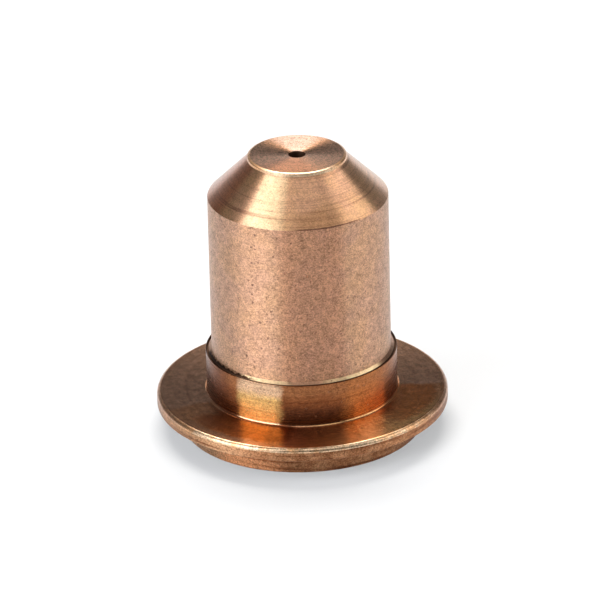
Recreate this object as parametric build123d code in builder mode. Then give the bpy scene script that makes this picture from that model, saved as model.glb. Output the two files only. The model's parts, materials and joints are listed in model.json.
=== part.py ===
from build123d import *
import math
import os

# Plasma torch nozzle, turned from one bar of copper.
# Millimetres. It stands on its seat, its axis is Z and its tip is up.

# Lengths along the axis, from the seat up
overall_height = 18.0
register_height = 1.54
flange_thickness = 0.84
collar_height = 2.73
cone_height = 2.45
tip_land_height = 0.23

# Outside diameters, and how far the flange stands out past the register under it
flange_diameter = 18.0
flange_overhang = 1.55
collar_diameter = 11.8
barrel_diameter = 11.08
tip_diameter = 6.1

# The gas passage, from its mouth in the seat up to the orifice in the tip
ring_seat_diameter = 9.6
ring_seat_depth = 3.2
ring_seat_lead_in = 0.3
chamber_diameter = 8.2
throat_angle = 45.0
orifice_diameter = 1.05
orifice_length = 1.625

# Rounds and breaks on the edges
register_edge_break = 0.12
flange_foot_break = 0.06
flange_edge_round = 0.2
collar_foot_round = 0.18
collar_edge_break = 0.08
tip_edge_round = 0.17
orifice_edge_break = 0.05

# How far the passage's cutting shape runs past both ends of the nozzle
overrun = 1.0

# Radii
flange_radius = flange_diameter / 2
register_radius = flange_radius - flange_overhang
collar_radius = collar_diameter / 2
barrel_radius = barrel_diameter / 2
tip_radius = tip_diameter / 2
ring_seat_radius = ring_seat_diameter / 2
chamber_radius = chamber_diameter / 2
orifice_radius = orifice_diameter / 2

# Levels of the outside, above the seat
flange_top = register_height + flange_thickness
ledge_level = flange_top + collar_height
cone_top = overall_height - tip_land_height
cone_foot = cone_top - cone_height

# Levels of the passage: the throat narrows at its angle to the axis, and the orifice keeps its length
throat_height = (chamber_radius - orifice_radius) / math.tan(math.radians(throat_angle))
throat_top = overall_height - orifice_length
chamber_top = throat_top - throat_height


def turned_edge(solid, radius, level):
    """The circular edge of the solid that lies nearest to this radius and level."""
    circles = solid.edges().filter_by(GeomType.CIRCLE)
    return circles.sort_by(lambda edge: math.hypot(edge.radius - radius, edge.arc_center.Z - level))[0]


# The nozzle is turned: half of its section is drawn beside the axis and revolved about it.
with BuildPart() as nozzle:
    # Outside: register, flange, collar, ledge, barrel, cone and the low land round the flat tip
    with BuildSketch(Plane.XZ) as outside:
        with BuildLine():
            Polyline(
                (0, 0),
                (register_radius, 0),
                (register_radius, register_height),
                (flange_radius, register_height),
                (flange_radius, flange_top),
                (collar_radius, flange_top),
                (collar_radius, ledge_level),
                (barrel_radius, ledge_level),
                (barrel_radius, cone_foot),
                (tip_radius, cone_top),
                (tip_radius, overall_height),
                (0, overall_height),
                close=True,
            )
        make_face()
    revolve(axis=Axis.Z)

    # Edges that the hand or the retaining cap meets are rounded or broken before the bore is cut
    fillet(turned_edge(nozzle, collar_radius, flange_top), collar_foot_round)
    fillet(turned_edge(nozzle, flange_radius, flange_top), flange_edge_round)
    fillet(turned_edge(nozzle, tip_radius, overall_height), tip_edge_round)
    chamfer(turned_edge(nozzle, register_radius, 0), register_edge_break)
    chamfer(turned_edge(nozzle, flange_radius, register_height), flange_foot_break)
    chamfer(turned_edge(nozzle, collar_radius, ledge_level), collar_edge_break)

    # Inside: the swirl ring's seat, the electrode's chamber, the throat and the orifice
    with BuildSketch(Plane.XZ) as passage:
        with BuildLine():
            Polyline(
                (0, -overrun),
                (ring_seat_radius, -overrun),
                (ring_seat_radius, ring_seat_depth),
                (chamber_radius, ring_seat_depth),
                (chamber_radius, chamber_top),
                (orifice_radius, throat_top),
                (orifice_radius, overall_height + overrun),
                (0, overall_height + overrun),
                close=True,
            )
        make_face()
    revolve(axis=Axis.Z, mode=Mode.SUBTRACT)

    # A lead-in guides the swirl ring home, and the orifice's sharp edge is taken off
    chamfer(turned_edge(nozzle, ring_seat_radius, 0), ring_seat_lead_in)
    chamfer(turned_edge(nozzle, orifice_radius, overall_height), orifice_edge_break)

nozzle.part.label = "nozzle"

os.makedirs("parts", exist_ok=True)
export_step(nozzle.part, "parts/nozzle.step")
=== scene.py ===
# %% [markdown]
# # A plasma torch nozzle in bare copper
#
# The nozzle is one piece, turned from a copper bar: a step that centres it, a flange, a collar,
# a plain barrel, a cone and a flat tip with the orifice in it. Most of what the eye reads here is
# not shape but finish, because bright metal shows the studio more than it shows itself. So the
# lesson goes in this order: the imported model, the section and the spin that turn it into a fine
# mesh, the copper's finishes, and then the studio that the copper mirrors.

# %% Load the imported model
import bpy
import json
import math
from mathutils import Matrix, Vector


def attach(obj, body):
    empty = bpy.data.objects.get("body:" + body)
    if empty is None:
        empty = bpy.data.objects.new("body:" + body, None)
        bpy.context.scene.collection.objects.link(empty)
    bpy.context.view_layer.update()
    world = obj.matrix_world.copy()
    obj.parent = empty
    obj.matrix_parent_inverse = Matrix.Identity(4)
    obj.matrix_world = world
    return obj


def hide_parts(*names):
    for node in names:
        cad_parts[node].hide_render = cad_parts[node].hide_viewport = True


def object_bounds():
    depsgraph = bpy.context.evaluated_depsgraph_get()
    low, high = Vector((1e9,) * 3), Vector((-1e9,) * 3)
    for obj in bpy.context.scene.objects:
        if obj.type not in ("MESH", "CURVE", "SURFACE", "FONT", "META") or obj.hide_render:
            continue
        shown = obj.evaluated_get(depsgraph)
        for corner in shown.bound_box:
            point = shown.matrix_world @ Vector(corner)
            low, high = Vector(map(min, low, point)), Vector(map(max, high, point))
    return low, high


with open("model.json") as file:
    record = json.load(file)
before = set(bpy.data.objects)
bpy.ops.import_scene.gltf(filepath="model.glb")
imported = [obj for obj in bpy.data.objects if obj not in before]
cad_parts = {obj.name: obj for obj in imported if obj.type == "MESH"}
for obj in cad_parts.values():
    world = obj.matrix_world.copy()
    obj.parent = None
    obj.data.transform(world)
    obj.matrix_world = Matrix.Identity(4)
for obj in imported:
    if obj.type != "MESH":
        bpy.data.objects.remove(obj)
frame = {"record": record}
cad_low, cad_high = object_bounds()
print("CAD box in metres:", tuple(cad_low), tuple(cad_high))

# %% [markdown]
# ## Sizes
#
# Everything is in metres, and the nozzle is small, so the sizes are written in millimetres times
# `mm`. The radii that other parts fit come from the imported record, so they can't drift from the
# real part. The rest are the steps and edge rounds that the record doesn't state.

# %% Read the radii and levels of the turned steps
mm = 0.001
mounts = {mount["name"]: mount for mount in frame["record"]["mounts"]}


def mount_radius(name):
    """The radius of a round mount, in metres."""
    return mounts[name]["dims"]["r_mm"] * mm


nozzle_height = cad_high.z
flange_radius = cad_high.x
register_radius = mount_radius("register")
barrel_radius = mount_radius("barrel")
ring_seat_radius = mount_radius("ring_seat")
chamber_radius = mount_radius("electrode_chamber")
orifice_radius = mount_radius("orifice")
collar_radius = 5.9 * mm
tip_radius = 3.05 * mm

flange_foot = 1.54 * mm
flange_top = mounts["flange_shoulder"]["pos_m"][2]
ledge_level = 5.11 * mm
cone_foot = ledge_level + mounts["barrel"]["dims"]["length_mm"] * mm
tip_land = 0.23 * mm
cone_top = nozzle_height - tip_land
ring_seat_depth = 3.2 * mm
orifice_length = 1.625 * mm
throat_top = nozzle_height - orifice_length
chamber_top = throat_top - (chamber_radius - orifice_radius)
print("cone foot at", round(cone_foot / mm, 3), "mm, chamber top at", round(chamber_top / mm, 3), "mm")

# %% [markdown]
# ## The section
#
# A turned part is half a section swept round an axis. Each corner below has a radius, a level and
# the size of the round on it. Even a "sharp" corner on a real part has a round of a few hundredths
# of a millimetre, and that is what catches the light as a thin bright line, so no corner is left
# without one. The flat tip is dished a little towards its hole, as a facing cut leaves it.
#
# The ledge on top of the collar is more than a step. The tool that cut the barrel left a narrow
# trench with a thin lip outside it, and a short flare that runs up into the barrel. On the real
# nozzle they are the dark line and the bright line round the barrel's foot. They could be painted
# on, but a line that is dark because it is deep stays right from every side, so they are cut here
# as corners of the section.

# %% List the corners of the section, from the mouth outwards and back down the passage
sharp_round = 0.03 * mm
lip_round = sharp_round / 2
fine_round = sharp_round / 3
register_break = 0.12 * mm
rim_foot_round = 0.07 * mm
flange_round = 0.28 * mm
collar_fillet = 0.18 * mm
lead_in = 0.3 * mm

lip_width = 0.05 * mm
trench_width = 0.11 * mm
trench_depth = 0.15 * mm
flare_height = 0.14 * mm
trench_outer = collar_radius - lip_width
trench_inner = trench_outer - trench_width
trench_bottom = ledge_level - trench_depth

tip_break_lean = 0.02 * mm
tip_break_height = 0.06 * mm
tip_break_width = 0.17 * mm
tip_dish = 0.03 * mm
orifice_break = 0.02 * mm
hole_level = nozzle_height - tip_dish

corners = [
    ("mouth", ring_seat_radius + lead_in, 0, sharp_round),
    ("register_foot", register_radius, 0, register_break),
    ("register_root", register_radius, flange_foot, sharp_round),
    ("rim_foot", flange_radius, flange_foot, rim_foot_round),
    ("rim_top", flange_radius, flange_top, flange_round),
    ("collar_foot", collar_radius, flange_top, collar_fillet),
    ("collar_lip", collar_radius, ledge_level, lip_round),
    ("trench_edge", trench_outer, ledge_level, fine_round),
    ("trench_floor", trench_outer, trench_bottom, fine_round),
    ("trench_root", trench_inner, trench_bottom, fine_round),
    ("flare_foot", trench_inner, ledge_level, sharp_round),
    ("flare_top", barrel_radius, ledge_level + flare_height, sharp_round),
    ("barrel_top", barrel_radius, cone_foot, sharp_round),
    ("land_foot", tip_radius, cone_top, fine_round),
    ("tip_break_foot", tip_radius - tip_break_lean, nozzle_height - tip_break_height, sharp_round),
    ("tip_break_top", tip_radius - tip_break_width, nozzle_height, sharp_round),
    ("orifice_edge", orifice_radius + orifice_break, hole_level, fine_round),
    ("orifice_wall", orifice_radius, hole_level - orifice_break, fine_round),
    ("throat_top", orifice_radius, throat_top, sharp_round),
    ("chamber_top", chamber_radius, chamber_top, sharp_round),
    ("chamber_mouth", chamber_radius, ring_seat_depth, sharp_round),
    ("ring_seat_root", ring_seat_radius, ring_seat_depth, sharp_round),
    ("ring_seat_lip", ring_seat_radius, lead_in, sharp_round),
]
print(len(corners), "corners on the section")

# %% [markdown]
# Blender has no operator that adds a single point, so the section starts as a plane whose four
# corners are merged into one. From there each corner is reached by extruding the last point, just
# as it would be drawn by hand with E and the arrow keys.

# %% Draw the section as a chain of edges


def deselect_all():
    """Nothing stays selected, so the next operator acts on new things only."""
    bpy.ops.object.select_all(action="DESELECT")


deselect_all()
bpy.ops.mesh.primitive_plane_add(size=mm, location=(0, 0, 0))
nozzle = bpy.context.object
nozzle.name = "turned_nozzle"
bpy.ops.object.mode_set(mode="EDIT")
bpy.ops.mesh.merge(type="CENTER")
bpy.ops.transform.translate(value=(corners[0][1], 0, corners[0][2]))
for (_, here_r, here_z, _), (_, next_r, next_z, _) in zip(corners, corners[1:]):
    step = (next_r - here_r, 0, next_z - here_z)
    bpy.ops.mesh.extrude_region_move(TRANSFORM_OT_translate={"value": step})
bpy.ops.object.mode_set(mode="OBJECT")
print("section points:", len(nozzle.data.vertices))

# %% [markdown]
# The chain is closed from the last corner to the first, and then every corner is rounded. A vertex
# bevel on a chain of edges cuts the corner with an arc, and its offset is the length taken off
# each side, which on a square corner is the radius of the round.

# %% Close the section and round its corners
small_round_steps = 3
large_round_steps = 6


def select_points(piece, places, reach=0.001 * mm):
    """In edit mode, selects only the section's points at these (radius, level) places."""
    bpy.ops.mesh.select_all(action="DESELECT")
    bpy.ops.object.mode_set(mode="OBJECT")
    found = 0
    for vertex in piece.data.vertices:
        gaps = [math.hypot(vertex.co.x - radius, vertex.co.z - level) for radius, level in places]
        vertex.select = min(gaps) < reach
        found += vertex.select
    bpy.ops.object.mode_set(mode="EDIT")
    if found != len(places):
        raise RuntimeError(f"{found} points at {places}")


bpy.ops.object.mode_set(mode="EDIT")
bpy.ops.mesh.select_mode(type="VERT")
select_points(nozzle, [corners[0][1:3], corners[-1][1:3]])
bpy.ops.mesh.edge_face_add()
for _, radius, level, size in corners:
    select_points(nozzle, [(radius, level)])
    steps = small_round_steps if size <= sharp_round else large_round_steps
    bpy.ops.mesh.bevel(offset_type="OFFSET", offset=size, segments=steps, affect="VERTICES")
bpy.ops.object.mode_set(mode="OBJECT")
print("points with rounds:", len(nozzle.data.vertices), "edges:", len(nozzle.data.edges))

# %% [markdown]
# ## The spin
#
# Spin sweeps the section once round Z. The first and last copies land on each other, so doubles
# are merged, and the normals are recalculated because a spin can leave them pointing inwards.

# %% Spin the section into the nozzle
spin_steps = 360
merge_distance = 0.0001 * mm

bpy.ops.object.mode_set(mode="EDIT")
bpy.ops.mesh.select_all(action="SELECT")
bpy.ops.mesh.spin(steps=spin_steps, angle=math.tau, center=(0, 0, 0), axis=(0, 0, 1))
bpy.ops.mesh.select_all(action="SELECT")
bpy.ops.mesh.remove_doubles(threshold=merge_distance)
bpy.ops.mesh.normals_make_consistent(inside=False)
bpy.ops.object.mode_set(mode="OBJECT")
bpy.ops.object.transform_apply(location=True, rotation=True, scale=True)
bpy.ops.object.shade_smooth()
print("faces:", len(nozzle.data.polygons))

# %% [markdown]
# Smooth shading bends the flats beside such small rounds, and a bent reflection shows at once on
# metal. Weighted normals let the larger face decide at each corner that faces share, so the flats
# mirror as flats, and the turn from one to the next happens in the round.

# %% Let the large faces decide the shading
weighted = nozzle.modifiers.new("large_faces_first", "WEIGHTED_NORMAL")
weighted.mode = "FACE_AREA"
weighted.weight = 100
weighted.keep_sharp = False
bpy.ops.object.modifier_apply(modifier=weighted.name)
loose = sum(1 for edge in nozzle.data.edges if edge.is_loose)
print("loose edges:", loose)

# %% [markdown]
# ## Writing shaders as sums
#
# Long chains of Math nodes are hard to read, so a small class wraps a socket and turns Python's
# own operators into those nodes. Every other node comes from one method, which takes the node's
# type, its settings and what goes into its sockets.

# %% A graph that builds nodes, and a wire that does sums


class Graph:
    """Builds the nodes of one material or world."""

    def __init__(self, tree):
        self.tree = tree
        tree.nodes.clear()

    def node(self, kind, settings=None, inputs=None):
        """Adds a node, sets it up, and fills its sockets with values or with other sockets."""
        made = self.tree.nodes.new(kind)
        for name, value in (settings or {}).items():
            if name == "stops":
                self.set_stops(made.color_ramp, value)
            else:
                setattr(made, name, value)
        for name, value in (inputs or {}).items():
            self.fill(made.inputs[name], value)
        return made

    def set_stops(self, ramp, stops):
        """Gives a colour ramp its stops, as (place, colour) pairs."""
        while len(ramp.elements) < len(stops):
            ramp.elements.new(0.5)
        for element, (place, colour) in zip(ramp.elements, stops):
            element.position = place
            element.color = (*colour, 1)

    def fill(self, socket, value):
        """Links a wire or a socket to a socket, or sets the socket's own value."""
        if isinstance(value, Wire):
            value = value.socket
        if isinstance(value, bpy.types.NodeSocket):
            self.tree.links.new(value, socket)
        elif socket.type == "RGBA" and len(value) == 3:
            socket.default_value = (*value, 1)
        else:
            socket.default_value = value

    def wire(self, socket):
        """Wraps a socket so that sums can be written with it."""
        return Wire(self, socket)

    def maths(self, operation, *values):
        """A Math node on one to three values, as a wire."""
        inputs = dict(enumerate(values))
        return self.wire(self.node("ShaderNodeMath", {"operation": operation}, inputs).outputs[0])

    def vectors(self, operation, *values):
        """A Vector Math node on one or two vectors."""
        inputs = dict(enumerate(values))
        return self.node("ShaderNodeVectorMath", {"operation": operation}, inputs).outputs[0]

    def scaled(self, vector, level):
        """A vector or a colour times a number."""
        inputs = {0: vector, "Scale": level}
        return self.node("ShaderNodeVectorMath", {"operation": "SCALE"}, inputs).outputs[0]

    def between(self, value, low, high):
        """0 below low, 1 above high, and a smooth step between them."""
        settings = {"interpolation_type": "SMOOTHSTEP"}
        inputs = {"Value": value, "From Min": low, "From Max": high}
        return self.wire(self.node("ShaderNodeMapRange", settings, inputs).outputs["Result"])

    def mix(self, factor, one, other, blend="MIX"):
        """A colour between one and other. A Mix node's colours are inputs 6 and 7, and output 2."""
        settings = {"data_type": "RGBA", "blend_type": blend}
        node = self.node("ShaderNodeMix", settings, {"Factor": factor})
        self.fill(node.inputs[6], one)
        self.fill(node.inputs[7], other)
        return node.outputs[2]


class Wire:
    """A number travelling through a graph. Sums with it add Math nodes."""

    def __init__(self, graph, socket):
        self.graph = graph
        self.socket = socket

    def __add__(self, other):
        return self.graph.maths("ADD", self, other)

    __radd__ = __add__

    def __sub__(self, other):
        return self.graph.maths("SUBTRACT", self, other)

    def __rsub__(self, other):
        return self.graph.maths("SUBTRACT", other, self)

    def __mul__(self, other):
        return self.graph.maths("MULTIPLY", self, other)

    __rmul__ = __mul__


# %% [markdown]
# ## Where a point is on a turned part
#
# Two numbers place any point of a turned surface: how far it is from the axis, and how far it is
# along the cut. The tool's lines run round the part, so they only change along the cut. One
# number, radius minus a share of the height, changes on every face here, flats, walls and cones
# alike, so a single noise along it can draw the lines of all the cuts.

# %% Coordinates for the copper
height_share = 0.8


def turned_place(graph):
    """A point's place in millimetres, as one vector and as x, y, z and radius."""
    spot = graph.node("ShaderNodeTexCoord").outputs["Object"]
    in_mm = graph.scaled(spot, 1 / mm)
    split = graph.node("ShaderNodeSeparateXYZ", inputs={0: in_mm})
    x, y, z = (graph.wire(split.outputs[i]) for i in range(3))
    radius = graph.maths("SQRT", x * x + y * y)
    return in_mm, x, y, z, radius


def noise(graph, vector, scale, detail=2.0, roughness=0.5):
    """Noise from 0 to 1 on a vector, as a wire."""
    inputs = {"Vector": vector, "Scale": scale, "Detail": detail, "Roughness": roughness}
    node = graph.node("ShaderNodeTexNoise", {"noise_dimensions": "3D"}, inputs)
    return graph.wire(node.outputs[0])


def tool_lines(graph, along, x, y, per_mm, drift=0.12):
    """Lines round the part: noise that changes fast along the cut and slowly round it."""
    stretched = graph.node("ShaderNodeCombineXYZ", inputs={
        0: along * per_mm, 1: x * drift, 2: y * drift,
    })
    return noise(graph, stretched.outputs[0], 1.0, 3.0, 0.6)


# %% [markdown]
# ## Turned copper
#
# Cuts leave grooves too fine to see one by one. They spread a highlight across themselves, which
# is why a faced disc shows two bright fans and a turned cone shows a bright stripe along its
# slope. The Anisotropic value does that, turned a quarter so that the spread crosses the grooves.
# Coarser lines are drawn on top with bump and a little change of colour.
#
# The colours are those of clean, dull and satin copper. A metal's base colour is what it mirrors
# with, so it is written lighter than the part looks in a dim place.

# %% Colours of clean, dull and satin copper
copper_gold = (0.69, 0.37, 0.17)
copper_pink = (0.66, 0.345, 0.19)
copper_dull = (0.33, 0.16, 0.09)
satin_pink = (0.515, 0.28, 0.168)
satin_gold = (0.54, 0.293, 0.152)
satin_brown = (0.50, 0.18, 0.065)
print("clean copper runs from", copper_gold, "to", copper_pink)

# %% [markdown]
# A worn face is never quite true. A faced tip is left a little hollow between its grooves, and
# hands round a barrel off. Leaning the normal that the shader gets by a small vector does the same
# to the reflections without moving the surface: inwards for the tip, upwards for the barrel.

# %% Lean the normal of a worn face


def leaning_normal(graph, x, y, radius, inwards, upwards):
    """The surface's normal, leaned towards the axis and towards the tip."""
    normal = graph.node("ShaderNodeNewGeometry").outputs["Normal"]
    # The 0.01 mm keeps a point on the axis from dividing by zero
    to_axis = graph.maths("DIVIDE", -inwards, radius + 0.01)
    lean = graph.node("ShaderNodeCombineXYZ", inputs={0: x * to_axis, 1: y * to_axis, 2: upwards})
    return graph.vectors("NORMALIZE", graph.vectors("ADD", normal, lean.outputs[0]))


# %% [markdown]
# ## Grain and pits
#
# Seen close, the copper sparkles in grains finer than a tenth of a millimetre, with soft clouds
# behind them and a few small pits. Noise alone looks like worms at that size, because it runs
# smoothly from light to dark. Voronoi cells don't: each cell has one random value, so they are
# used for the grains, and also for the pits, where a small share of larger cells holds one each.

# %% Grain, clouds and pits
grains_per_mm = 15.0
clouds_per_mm = 2.2
darkest_grain = 0.3
brightest_grain = 1.45


def random_cells(graph, in_mm, per_mm):
    """Small cells: how far a point is from its cell's middle, and the cell's random value."""
    inputs = {"Vector": in_mm, "Scale": per_mm}
    cells = graph.node("ShaderNodeTexVoronoi", {"feature": "F1"}, inputs)
    parts = graph.node("ShaderNodeSeparateXYZ", inputs={0: cells.outputs["Color"]})
    return graph.wire(cells.outputs["Distance"]), graph.wire(parts.outputs[0])


def small_pits(graph, in_mm, per_mm, share):
    """1 in small round pits. A share of the cells holds one each."""
    distance, drawn = random_cells(graph, in_mm, per_mm)
    near = 1.0 - graph.between(distance, 0.15, 0.40)
    return near * graph.between(drawn, 1.0 - share, 1.02 - share)


def grain_level(graph, in_mm, grain, clouds):
    """How bright the metal is from grain to grain: about 1, with soft clouds around the grains."""
    _, fine = random_cells(graph, in_mm, grains_per_mm)
    broad = noise(graph, in_mm, clouds_per_mm, 2.0, 0.9)
    level = 1.0 + grain * (fine - 0.5) + clouds * (broad - 0.5)
    return graph.maths("MINIMUM", graph.maths("MAXIMUM", level, darkest_grain), brightest_grain)


# %% [markdown]
# ## One side of a round part
#
# Light falls on one side of a round part more than on another, and most marks below that pick a
# side are painted highlights, painted reflections or painted shade. An angle round the axis would
# jump from its highest to its lowest value at the back and leave a seam there. The cosine between
# a point's direction and a chosen one has no seam: it is 1 there and falls evenly both ways.
# Azimuths are in degrees. 0 is the side that the photograph shows, and they grow to the right.

# %% The cosine that picks a side


def facing(graph, x, y, radius, azimuth):
    """1 where the point lies at this azimuth, falling to -1 opposite: the cosine between them."""
    turn = math.radians(azimuth)
    return graph.maths("DIVIDE", x * math.sin(turn) - y * math.cos(turn), radius)


# %% [markdown]
# ## One recipe for every turned face
#
# The faces differ in how rough they are, how far they spread light and what colour they have, but
# all have lines, pits and grain. So one function makes all their materials. A thin clear coat
# stands for the film of oil and air on old copper, which lays a pale veil over the highlights. It
# weakens in the dark grains too, because a veil on those alone would turn them grey. Metal also
# mirrors whiter at a low angle, and the edge tint holds that back where heat has coloured it.
#
# The colour of each face comes from a function of its own. All of them take the same places, so
# that any of them fits into the recipe. The plain one comes first.

# %% Plain copper, and the recipe for turned copper
fine_lines_per_mm = 16.0
coarse_lines_per_mm = 6.0
groove_depth = 0.004 * mm
pits_per_mm = 5.0
pit_share = 0.07


def plain_colour(graph, in_mm, x, y, z, radius):
    """Copper between gold and pink, in clouds of a millimetre or two."""
    cloud = noise(graph, in_mm, 0.45, 3.0)
    return graph.mix(graph.between(cloud, 0.35, 0.65), copper_gold, copper_pink)


def turned_copper(name, colour, roughness, spread, lines, coat, grain=0.5, clouds=0.9, streaks=0.3,
                  pitted=1.0, inwards=0.0, upwards=0.0, edge_tint=(1, 1, 1)):
    """Copper from the lathe. Its grooves spread the light, and lines says how deep they look."""
    material = bpy.data.materials.new(name)
    material.use_nodes = True
    graph = Graph(material.node_tree)
    in_mm, x, y, z, radius = turned_place(graph)
    along = radius - height_share * z
    fine = tool_lines(graph, along, x, y, fine_lines_per_mm)
    coarse = tool_lines(graph, along, x, y, coarse_lines_per_mm)
    pits = pitted * small_pits(graph, in_mm, pits_per_mm, pit_share)
    base = colour(graph, in_mm, x, y, z, radius)
    darker = graph.mix(1.0, base, copper_dull, "MULTIPLY")
    base = graph.mix(streaks * graph.between(coarse, 0.45, 0.75), base, darker)
    base = graph.mix(0.7 * pits, base, copper_dull)
    level = grain_level(graph, in_mm, grain, clouds)
    base = graph.scaled(base, level)
    height = 0.5 * fine + 0.5 * coarse - pits
    normal = leaning_normal(graph, x, y, radius, inwards, upwards)
    bump = graph.node("ShaderNodeBump", inputs={
        "Strength": lines, "Distance": groove_depth, "Height": height, "Normal": normal,
    })
    surface = graph.node("ShaderNodeBsdfPrincipled", inputs={
        "Base Color": base,
        "Metallic": 1.0,
        "Specular Tint": edge_tint,
        "Roughness": roughness + 0.16 * (fine - 0.5) + 0.15 * pits,
        "Anisotropic": spread,
        "Anisotropic Rotation": 0.25,
        "Coat Weight": coat * level,
        "Coat Roughness": 0.3,
        "Normal": bump.outputs[0],
    })
    graph.node("ShaderNodeOutputMaterial", inputs={"Surface": surface.outputs[0]})
    return material


# %% [markdown]
# ## Tints and painted light
#
# Copper that has been hot is not one colour, and bright copper also shows the studio. The collar
# is duller above and browner below. Painted on it are shade low in front and on its far left side,
# an orange highlight on the right, and a straw-gold highlight on the left, cream at its foot. The
# flange is brown in front, with painted reflections: grey round its sides and back, red by the
# collar on the left, orange by it on the right and a dark stripe in front, and a painted gold
# highlight on the right. Its edge is painted pale in front as a highlight, and its rim and the
# register under it have kept a rough brown skin, with painted highlights on their left.
#
# Such marks could be painted on an image, but each has a plain rule: a side, a height and a
# ragged border. So each colour below is a few masks from 0 to 1, made with `facing`, a height or
# a radius, and a little noise, and the colours are mixed by them.

# %% Tints of the collar
collar_brown = (0.30, 0.094, 0.028)
collar_dark = (0.13, 0.036, 0.012)
collar_orange = (0.42, 0.145, 0.04)
collar_straw = (0.64, 0.42, 0.15)
collar_dull = (0.32, 0.122, 0.046)
collar_pale = (0.60, 0.39, 0.24)
collar_cream = (0.86, 0.66, 0.42)
collar_highlight_azimuth = -27.5
dark_azimuth = 6
dark_side_azimuth = -70
orange_azimuth = 42


def collar_colour(graph, in_mm, x, y, z, radius):
    """Duller above and browner below, with painted shade low in front and on the far left, a painted
    orange highlight on the right, and a painted straw-gold highlight on the left.
    """
    ragged = 0.05 * (noise(graph, in_mm, 1.2, 3.0) - 0.5)
    # Painted highlight: orange on the right side
    orange = graph.between(facing(graph, x, y, radius, orange_azimuth) + 2.0 * ragged, 0.93, 0.995)
    low = 1.0 - graph.between(z + 30.0 * ragged, 3.2, 4.6)
    # Painted shade: darker low on the front, and on the far left side
    dark_front = graph.between(facing(graph, x, y, radius, dark_azimuth) + 0.3 * ragged, 0.935, 0.985)
    dark_side = graph.between(facing(graph, x, y, radius, dark_side_azimuth), 0.90, 0.98)
    dark = graph.maths("MAXIMUM", low * dark_front, 0.8 * dark_side)
    # Painted highlight: straw-gold on the left side, paler higher up and cream at the foot
    painted_highlight = graph.between(facing(graph, x, y, radius, collar_highlight_azimuth) + 0.7 * ragged, 0.958, 0.980)
    dull = graph.between(z + 12.0 * ragged, 3.9, 4.6)
    tinted = graph.mix(dull, collar_brown, collar_dull)
    tinted = graph.mix(orange * (1.0 - 0.55 * dull), tinted, collar_orange)
    tinted = graph.mix(0.8 * dark, tinted, collar_dark)
    highlight_blend = graph.mix(dull, collar_straw, collar_pale)
    foot = 1.0 - graph.between(z, flange_top / mm + 0.12, flange_top / mm + 0.24)
    return graph.mix(painted_highlight, tinted, graph.mix(foot, highlight_blend, collar_cream))


# %% Tints of the flange
flange_brown = (0.57, 0.275, 0.145)
flange_grey = (0.57, 0.33, 0.23)
flange_gold = (0.68, 0.37, 0.16)
flange_red = (0.37, 0.103, 0.024)
flange_orange = (0.56, 0.18, 0.048)
brown_azimuth = 9
gold_azimuth = 38
red_azimuth = -30
orange_reflection_azimuth = 72
dark_reflection_azimuth = -12


def flange_colour(graph, in_mm, x, y, z, radius):
    """Brown in front, with painted reflections: grey behind, red by the collar on the left, orange by
    it on the right and a dark stripe in front, and a painted gold highlight on the right.
    """
    blotch = noise(graph, in_mm, 0.7, 3.0) - 0.5
    near_collar = 1.0 - graph.between(radius + 1.2 * blotch, 7.9, 8.5)
    # Painted reflection: grey round the sides and back, brown on the front
    front = graph.between(facing(graph, x, y, radius, brown_azimuth) + 0.1 * blotch, 0.15, 0.22)
    # Painted highlight: gold on the right
    gold = graph.between(facing(graph, x, y, radius, gold_azimuth) + 0.2 * blotch, 0.70, 0.95)
    # Painted reflection: red by the collar on the left
    red = graph.between(facing(graph, x, y, radius, red_azimuth) + 0.2 * blotch, 0.87, 0.96)
    # Painted reflection: orange by the collar on the right
    orange_reflection = graph.between(facing(graph, x, y, radius, orange_reflection_azimuth) + 0.1 * blotch, 0.86, 0.97)
    # Painted reflection: a dark stripe just left of the front
    dark_reflection = graph.between(facing(graph, x, y, radius, dark_reflection_azimuth) + 0.02 * blotch, 0.990, 0.998)
    tinted = graph.mix(front, flange_grey, flange_brown)
    tinted = graph.mix(gold, tinted, flange_gold)
    tinted = graph.mix(red * near_collar, tinted, flange_red)
    tinted = graph.mix(0.9 * (orange_reflection * near_collar * front), tinted, flange_orange)
    return graph.mix(0.5 * dark_reflection, tinted, collar_dark)


# %% Tints of the rim and the edge
rim_brown = (0.34, 0.145, 0.064)
rim_tan = (0.44, 0.21, 0.10)
rim_light = (0.52, 0.285, 0.15)
register_light = (0.58, 0.255, 0.115)
edge_pale = (0.72, 0.50, 0.31)
rim_highlight_azimuth = -52
register_azimuth = -27
front_highlight_azimuth = 0


def rim_colour(graph, in_mm, x, y, z, radius):
    """Brown and tan in small clouds, with painted highlights on the left of the rim and of the
    register.
    """
    cloud = graph.between(noise(graph, in_mm, 1.0, 3.0), 0.4, 0.6)
    # Painted highlight: lighter on the rim's left side
    rim_highlight = graph.between(facing(graph, x, y, radius, rim_highlight_azimuth), 0.80, 0.97)
    register = 1.0 - graph.between(z, flange_foot / mm - 0.1, flange_foot / mm)
    # Painted highlight: lighter on the register's left side
    painted_highlight = register * graph.between(facing(graph, x, y, radius, register_azimuth), 0.93, 0.99)
    tinted = graph.mix(rim_highlight, graph.mix(cloud, rim_brown, rim_tan), rim_light)
    return graph.mix(painted_highlight, tinted, register_light)


def edge_colour(graph, in_mm, x, y, z, radius):
    """The palest copper in front as a painted highlight, with duller lengths in it, and tan round the
    rest.
    """
    highlight_blend = graph.between(noise(graph, in_mm, 0.9, 2.0), 0.38, 0.55)
    # Painted highlight: pale on the front, tan round the rest
    front_highlight = graph.between(facing(graph, x, y, radius, front_highlight_azimuth), 0.3, 0.8)
    return graph.mix(front_highlight, rim_tan, graph.mix(highlight_blend, copper_gold, edge_pale))


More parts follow.
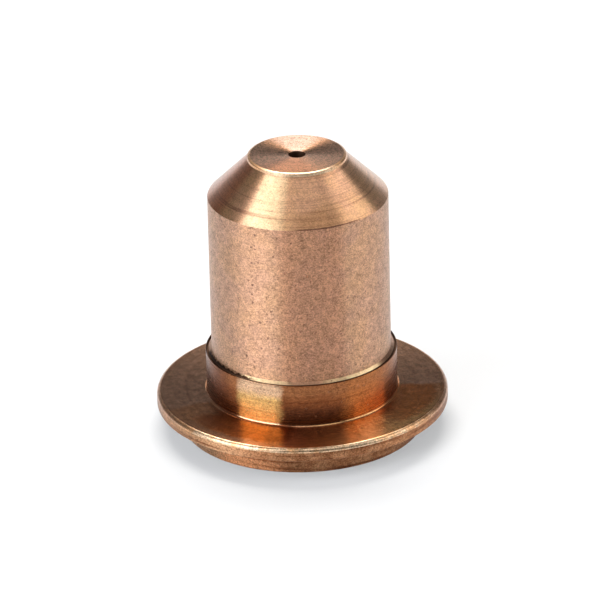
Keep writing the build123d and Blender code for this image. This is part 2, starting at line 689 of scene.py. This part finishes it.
# %% Tints of the flare at the barrel's foot
groove_shadow_brown = (0.06, 0.024, 0.011)
flare_bright = (0.95, 0.68, 0.38)
groove_shadow_azimuth = -58
left_bright_azimuth = -25
right_bright_azimuth = 36


def flare_colour(graph, in_mm, x, y, z, radius):
    """Painted highlights on the left and right, and painted shadow low in the groove on the left."""
    ragged = noise(graph, in_mm, 4.0, 2.0) - 0.5
    # Painted shadow: low in the groove on the left side, with a ragged edge
    groove_shadow = graph.between(facing(graph, x, y, radius, groove_shadow_azimuth) + 0.04 * ragged, 0.88, 0.93)
    low = 1.0 - graph.between(z + 0.25 * ragged, ledge_level / mm + 0.07, ledge_level / mm + 0.10)
    # Painted highlights on the left and right
    left_bright = graph.between(facing(graph, x, y, radius, left_bright_azimuth), 0.94, 0.985)
    right_bright = graph.between(facing(graph, x, y, radius, right_bright_azimuth), 0.90, 0.97)
    flare_tone = graph.mix(graph.maths("MAXIMUM", left_bright, right_bright), satin_pink, flare_bright)
    return graph.mix(groove_shadow * low, flare_tone, groove_shadow_brown)


# %% Tints of the cone
cone_tan = (0.47, 0.22, 0.085)
cone_red = (0.52, 0.18, 0.065)
cone_cream = (0.72, 0.53, 0.30)
line_azimuth = 20
low_front_shade_azimuth = 14
cone_highlight_azimuth = -24.5
cone_red_azimuth = -86


def cone_colour(graph, in_mm, x, y, z, radius):
    """Plain copper, with painted shade low in front, a painted highlight band on the left, a redder
    far-left side, and a painted shadow line at the cone's foot.
    """
    foot = cone_foot / mm
    # Painted shadow: a thin dark line at the cone's foot, on the front right
    line = 1.0 - graph.between(z, foot + 0.05, foot + 0.09)
    there = graph.between(facing(graph, x, y, radius, line_azimuth), 0.90, 0.96)
    # Painted shade: darker low on the front
    low = 1.0 - graph.between(z + noise(graph, in_mm, 0.8, 3.0), foot + 0.9, foot + 1.9)
    low_front_shade = low * graph.between(facing(graph, x, y, radius, low_front_shade_azimuth), 0.93, 0.99)
    # Painted highlight: a pale band on the left
    highlight_band = graph.between(facing(graph, x, y, radius, cone_highlight_azimuth), 0.955, 0.985)
    red_side = graph.between(facing(graph, x, y, radius, cone_red_azimuth), 0.85, 0.95)
    cone_tone = plain_colour(graph, in_mm, x, y, z, radius)
    cone_tone = graph.mix(0.85 * low_front_shade, cone_tone, cone_tan)
    cone_tone = graph.mix(0.55 * highlight_band, cone_tone, cone_cream)
    cone_tone = graph.mix(red_side, cone_tone, cone_red)
    return graph.mix(0.8 * line * there, cone_tone, collar_dark)


# %% Tints of the tip and its edge
tip_cream = (0.57, 0.37, 0.275)
tip_pink = (0.56, 0.245, 0.115)
tip_tan = (0.64, 0.325, 0.17)
far_azimuth = 180
near_azimuth = -15
tip_edge_highlight_azimuth = 3


def tip_edge_colour(graph, in_mm, x, y, z, radius):
    """Painted pale in front as a highlight, and like the cone on the rest."""
    # Painted highlight: pale on the front
    highlight_band = graph.between(facing(graph, x, y, radius, tip_edge_highlight_azimuth), 0.55, 0.86)
    return graph.mix(highlight_band, copper_gold, edge_pale)


def tip_colour(graph, in_mm, x, y, z, radius):
    """A painted pale highlight on the far side, and a painted pink reflection on the near side."""
    # Painted highlight: pale on the far side
    far = graph.between(facing(graph, x, y, radius, far_azimuth), 0.70, 0.96)
    # Painted reflection: pinker on the near side
    near = graph.between(facing(graph, x, y, radius, near_azimuth), 0.60, 0.95)
    return graph.mix(far, graph.mix(near, tip_tan, tip_pink), tip_cream)


# %% [markdown]
# ## Satin copper
#
# The barrel was dulled after turning, so it has no lines that show. Its grooves still spread a
# highlight up and down, as a soft band, and over that lie grains that catch the light one by one,
# a few dark pits and clouds of colour where hands and air have dulled it. It needs its own recipe:
# more bump, no lines, a rougher coat, and a browner stretch painted on the front as shade.

# %% Finish for the barrel
shaded_azimuth = 8
satin_pits_per_mm = 4.5
satin_pit_share = 0.10
satin_grain = 0.62
satin_clouds = 1.1
satin_lean = 0.14
satin_depth = 0.03 * mm


def satin_copper():
    """Copper with a fine even grain."""
    material = bpy.data.materials.new("satin_copper")
    material.use_nodes = True
    graph = Graph(material.node_tree)
    in_mm, x, y, _, radius = turned_place(graph)
    grain = noise(graph, in_mm, 4.0, 3.0, 0.8)
    cloud = noise(graph, in_mm, 0.6, 3.0)
    pits = small_pits(graph, in_mm, satin_pits_per_mm, satin_pit_share)
    colour = graph.mix(graph.between(cloud, 0.3, 0.7), satin_pink, satin_gold)
    colour = graph.mix(0.8 * pits, colour, copper_dull)
    # Painted shade: a browner stretch on the front
    shaded = graph.between(facing(graph, x, y, radius, shaded_azimuth), 0.90, 0.975)
    colour = graph.mix(0.45 * shaded, colour, satin_brown)
    level = grain_level(graph, in_mm, satin_grain, satin_clouds)
    height = grain - 1.5 * pits
    normal = leaning_normal(graph, x, y, radius, 0.0, satin_lean)
    bump = graph.node("ShaderNodeBump", inputs={
        "Strength": 1.0, "Distance": satin_depth, "Height": height, "Normal": normal,
    })
    surface = graph.node("ShaderNodeBsdfPrincipled", inputs={
        "Base Color": graph.scaled(colour, level),
        "Metallic": 1.0,
        "Roughness": 0.48 + 0.16 * (grain - 0.5) + 0.2 * pits,
        "Anisotropic": 0.7,
        "Anisotropic Rotation": 0.25,
        "Coat Weight": 0.66 * level,
        "Coat IOR": 1.75,
        "Coat Roughness": 0.45,
        "Normal": bump.outputs[0],
    })
    graph.node("ShaderNodeOutputMaterial", inputs={"Surface": surface.outputs[0]})
    return material


# %% [markdown]
# ## The passage
#
# The arc burns the passage brown, and little light gets in, so it needs no lines: two dark browns
# in clouds are enough. The trench round the barrel's foot gets the same dark finish as painted shade.

# %% Finish for the passage and the trench
burnt_and_shade_dark = (0.10, 0.055, 0.035)
burnt_and_shade_brown = (0.20, 0.11, 0.065)


def burnt_and_shade_copper():
    """Copper darkened by heat inside the passage, and painted shade in the trench."""
    material = bpy.data.materials.new("burnt_and_shade_copper")
    material.use_nodes = True
    graph = Graph(material.node_tree)
    in_mm, *_ = turned_place(graph)
    cloud = noise(graph, in_mm, 1.5, 3.0)
    surface = graph.node("ShaderNodeBsdfPrincipled", inputs={
        "Base Color": graph.mix(cloud, burnt_and_shade_dark, burnt_and_shade_brown),
        "Metallic": 1.0,
        "Roughness": 0.5,
    })
    graph.node("ShaderNodeOutputMaterial", inputs={"Surface": surface.outputs[0]})
    return material


# %% [markdown]
# ## Where each finish goes
#
# Each finish belongs to a band of the section, so a face's radius and height name its finish.
# That is simpler than picking faces by hand, and it still holds when the section changes.

# %% Make the finishes
finishes = {
    "faced": turned_copper(
        "faced_tip", tip_colour, roughness=0.36, spread=0.88, lines=0.5, coat=0.6,
        grain=0.8, inwards=0.2,
    ),
    "tip_edge": turned_copper(
        "tip_edge", tip_edge_colour, roughness=0.34, spread=0.0, lines=0.4, coat=0.8,
    ),
    "edge": turned_copper(
        "bright_edge", edge_colour, roughness=0.31, spread=0.0, lines=0.5, coat=0.6,
        grain=0.8,
    ),
    "flare": turned_copper(
        "ledge_flare", flare_colour, roughness=0.34, spread=0.85, lines=0.3, coat=0.2,
        grain=0.3,
    ),
    "cone": turned_copper(
        "turned_cone", cone_colour, roughness=0.34, spread=0.88, lines=0.5, coat=0.9,
        grain=0.42, clouds=0.35, streaks=0.6,
    ),
    "burnished": turned_copper(
        "burnished_collar", collar_colour, roughness=0.26, spread=0.86, lines=0.35, coat=0.15,
        grain=0.6, upwards=-0.04,
    ),
    "flange": turned_copper(
        "burnished_flange", flange_colour, roughness=0.23, spread=0.82, lines=0.2, coat=0.3,
        grain=0.35, clouds=1.2, pitted=0.0, edge_tint=(1.0, 0.72, 0.5),
    ),
    "satin": satin_copper(),
    "rim": turned_copper(
        "rim_copper", rim_colour, roughness=0.40, spread=0.80, lines=1.0, coat=0.1,
        grain=0.8, streaks=0.9, upwards=0.08,
    ),
    "burnt_and_shade": burnt_and_shade_copper(),
}
for finish in finishes.values():
    nozzle.data.materials.append(finish)
print("finishes:", list(finishes))

# %% [markdown]
# The borders between the finishes need a little slack, because a round takes the corner itself
# away. On the tip and at the collar's foot the border lies within such a round.

# %% Give each face its finish by where it lies
slack = 0.01 * mm
land_foot = cone_top + 0.02 * mm
faced_radius = tip_radius - 0.18 * mm
flange_border = flange_top + 0.08 * mm


def finish_at(radius, level):
    """The name of the finish on a face at this radius and level."""
    inner = ring_seat_radius + lead_in if level < ring_seat_depth else chamber_radius
    inner = orifice_radius if level > throat_top else inner
    if radius < inner + slack / 2 and level < hole_level - orifice_break / 2:
        return "burnt_and_shade"
    if level > land_foot:
        return "faced" if radius < faced_radius else "tip_edge"
    if level > cone_foot:
        return "cone"
    if trench_bottom - slack < level < ledge_level + flare_height:
        if radius < trench_inner and level > ledge_level + slack:
            return "flare"
        # The trench takes the passage's dark finish, as painted shade
        if radius < trench_outer + slack / 2:
            return "burnt_and_shade"
    if level > flange_top + collar_fillet:
        return "satin" if radius < barrel_radius + slack else "burnished"
    if level > flange_border:
        return "burnished"
    if level > flange_top - slack:
        return "flange"
    return "edge" if level > flange_top - flange_round else "rim"


order = list(finishes)
counts = dict.fromkeys(order, 0)
for face in nozzle.data.polygons:
    name = finish_at(math.hypot(face.center.x, face.center.y), face.center.z)
    face.material_index = order.index(name)
    counts[name] += 1
print("faces of each finish:", counts)

# %% [markdown]
# Copper this close to a white floor would throw orange light on it. In the photograph the shadow
# is a neutral grey, so the nozzle is left out of diffuse rays: the floor keeps its shadow and
# loses only the orange. The three calls after it tell the model which part this mesh is.

# %% Keep the shadow neutral, and hand the nozzle over
nozzle.visible_diffuse = False

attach(nozzle, "root")
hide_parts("nozzle")
print(nozzle.name, "takes the place of the packed nozzle")

# %% [markdown]
# ## The camera
#
# The photograph was taken from a little above with a long lens, and the nozzle leans by a degree.
# The numbers below were found by fitting the edges of the real part to the photograph.

# %% Set up the camera
camera_elevation = math.radians(24.8)
camera_distance = 0.4
camera_roll = math.radians(-1.35)
focal_pixels = 6504
image_pixels = 600
aim = Vector((-0.016 * mm, 0, 8.188 * mm))

bpy.ops.object.camera_add()
camera = bpy.context.object
camera.name = "photo_camera"
towards_camera = Vector((0, -math.cos(camera_elevation), math.sin(camera_elevation)))
camera.location = aim + towards_camera * camera_distance
looking = (-towards_camera).to_track_quat("-Z", "Y").to_matrix()
roll_axis = Vector((0, 0, 1))
camera.rotation_euler = (looking @ Matrix.Rotation(camera_roll, 3, roll_axis)).to_euler()
camera.data.sensor_width = 36
camera.data.lens = focal_pixels * camera.data.sensor_width / image_pixels
camera.data.clip_start = 0.01
camera.data.clip_end = 20
bpy.context.scene.camera = camera
print("lens in mm:", round(camera.data.lens, 1))

# %% [markdown]
# ## The studio
#
# Bright metal needs something dark to mirror as well as something light. Two large soft boxes
# stand to the left and the right, and make the two bright bands on the barrel and the cone. One
# above and behind makes the fan on the tip and throws the shadow forwards, a weak one above the
# front fills the flange, and a low one behind lights the edges. Between them the room is dim.
# The boxes are left out of camera rays, so that no view shows one. Each is given the radiance
# that the metal mirrors, because a larger box of the same power would look dimmer in it.
#
# The floor is white paper. It is as light as its own colour and the lamps make it, a little above
# white, so it needs no light of its own.

# %% Floor
floor_size = 6.0
paper_white = (0.92, 0.92, 0.92)

deselect_all()
bpy.ops.mesh.primitive_plane_add(size=floor_size, location=(0, 0, 0))
floor = bpy.context.object
floor.name = "floor"
paper = bpy.data.materials.new("white_paper")
paper.use_nodes = True
graph = Graph(paper.node_tree)
paper_surface = graph.node("ShaderNodeBsdfDiffuse", inputs={"Color": paper_white})
graph.node("ShaderNodeOutputMaterial", inputs={"Surface": paper_surface.outputs[0]})
floor.data.materials.append(paper)
print("floor:", floor_size, "m square, of", paper.name)

# %% Soft boxes
# Blender gives an area light a radiance of 1 for 4 watts on each square metre
watts_for_radiance = 4


def soft_box(name, azimuth, elevation, distance, width, height, radiance, colour=(1, 1, 1)):
    """An area light that faces the nozzle, with its angles in degrees as for the finishes."""
    turn, lift = math.radians(azimuth), math.radians(elevation)
    away = Vector((math.sin(turn) * math.cos(lift), -math.cos(turn) * math.cos(lift), math.sin(lift)))
    deselect_all()
    bpy.ops.object.light_add(type="AREA", location=away * distance)
    lamp = bpy.context.object
    lamp.name = name
    lamp.rotation_euler = away.to_track_quat("Z", "Y").to_euler()
    lamp.data.shape = "RECTANGLE"
    lamp.data.size = width
    lamp.data.size_y = height
    lamp.data.energy = watts_for_radiance * width * height * radiance
    lamp.data.color = colour
    lamp.visible_camera = False
    print(name, "power in watts:", round(lamp.data.energy, 2))


soft_box(
    "left_soft_box", azimuth=-55, elevation=27, distance=1.0, width=0.88, height=0.9,
    radiance=2.75, colour=(0.97, 1.0, 1.06),
)
soft_box(
    "right_soft_box", azimuth=88, elevation=30, distance=1.0, width=0.92, height=0.75,
    radiance=1.25,
)
soft_box(
    "top_soft_box", azimuth=186, elevation=63, distance=1.1, width=0.85, height=0.42,
    radiance=5.4, colour=(1.02, 1.0, 0.97),
)
soft_box(
    "front_soft_box", azimuth=16, elevation=64, distance=1.1, width=1.0, height=0.5,
    radiance=0.85,
)
soft_box(
    "back_soft_box", azimuth=180, elevation=8, distance=1.2, width=1.2, height=0.25,
    radiance=0.9,
)

# %% [markdown]
# The world is the room around the boxes. Its grey goes by height: pale below the horizon, which
# only the floor's far side could show, dim at the walls, so that the metal has something dark to
# mirror, and a little lighter towards the ceiling.

# %% The room around them
world = bpy.data.worlds.new("room")
bpy.context.scene.world = world
world.use_nodes = True
graph = Graph(world.node_tree)
direction = graph.node("ShaderNodeTexCoord").outputs["Generated"]
height = graph.node("ShaderNodeSeparateXYZ", inputs={0: direction}).outputs[2]
room_stops = [
    (0.49, (0.95, 0.95, 0.95)),
    (0.50, (0.20, 0.20, 0.20)),
    (0.53, (0.14, 0.14, 0.14)),
    (0.90, (0.14, 0.14, 0.14)),
    (1.00, (0.20, 0.20, 0.20)),
]
share_up = graph.wire(height) * 0.5 + 0.5
room = graph.node("ShaderNodeValToRGB", {"stops": room_stops}, {0: share_up})
background = graph.node("ShaderNodeBackground", inputs={"Color": room.outputs[0], "Strength": 1.0})
graph.node("ShaderNodeOutputWorld", inputs={"Surface": background.outputs[0]})
print("room:", len(room_stops), "greys, from below the horizon to the ceiling")

# %% [markdown]
# ## Colour management
#
# Standard shows colours as they are written. The fine mesh must not outgrow the part.

# %% Colour management
bpy.context.scene.view_settings.view_transform = "Standard"
